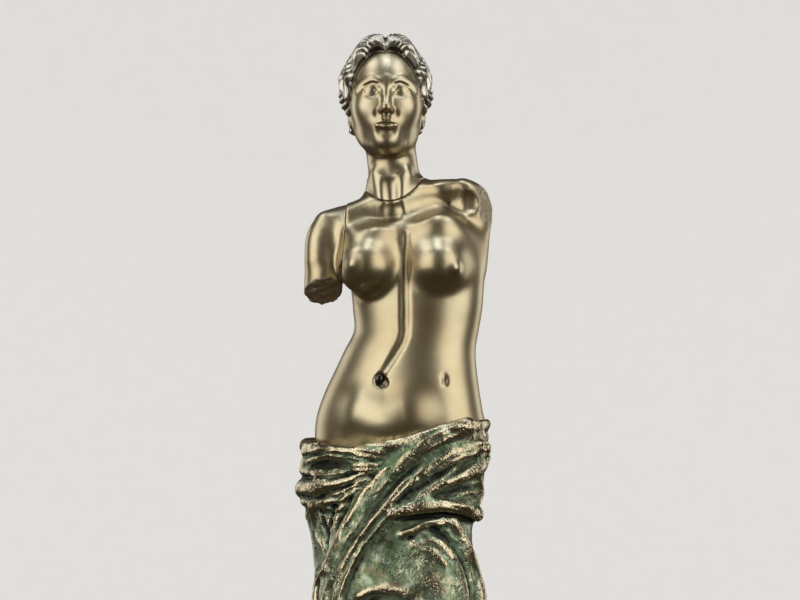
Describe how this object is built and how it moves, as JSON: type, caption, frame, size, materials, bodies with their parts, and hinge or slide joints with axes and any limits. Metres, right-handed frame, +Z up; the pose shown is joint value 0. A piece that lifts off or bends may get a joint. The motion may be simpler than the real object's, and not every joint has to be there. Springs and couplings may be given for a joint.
{
  "type": "bronze statuette",
  "caption": "Bronze-finished statuette of a draped standing goddess with broken arms, built from separate pinned castings on a moulded base with a felt underside.",
  "frame": {"origin": "on the underside of the felt, at the middle of the base", "axes": "+Z up along the figure's height, the figure faces -Y, +X towards the figure's own left shoulder"},
  "size_m": [0.084, 0.078, 0.29],
  "materials": {
    "bronze_skin": "burnished warm bronze with fine metallic grain, darker in the hollows",
    "bronze_patina": "pitted green verdigris patina with folds rubbed back to gold bronze",
    "bronze_base": "dark antique bronze with rubbed edges",
    "felt": "short dark green felt",
    "steel": "plain drawn steel",
    "brass": "turned brass"
  },
  "bodies": {
    "root": {"head": "bronze_skin", "torso": "bronze_skin", "right_arm": "bronze_skin", "drapery": "bronze_patina", "base": "bronze_base", "felt_pad": "felt", "neck_dowel": "steel", "arm_dowel": "steel", "waist_dowel_right": "steel", "waist_dowel_left": "steel", "base_screw": "steel", "base_washer": "steel", "threaded_insert": "brass"}
  },
  "joints": []
}
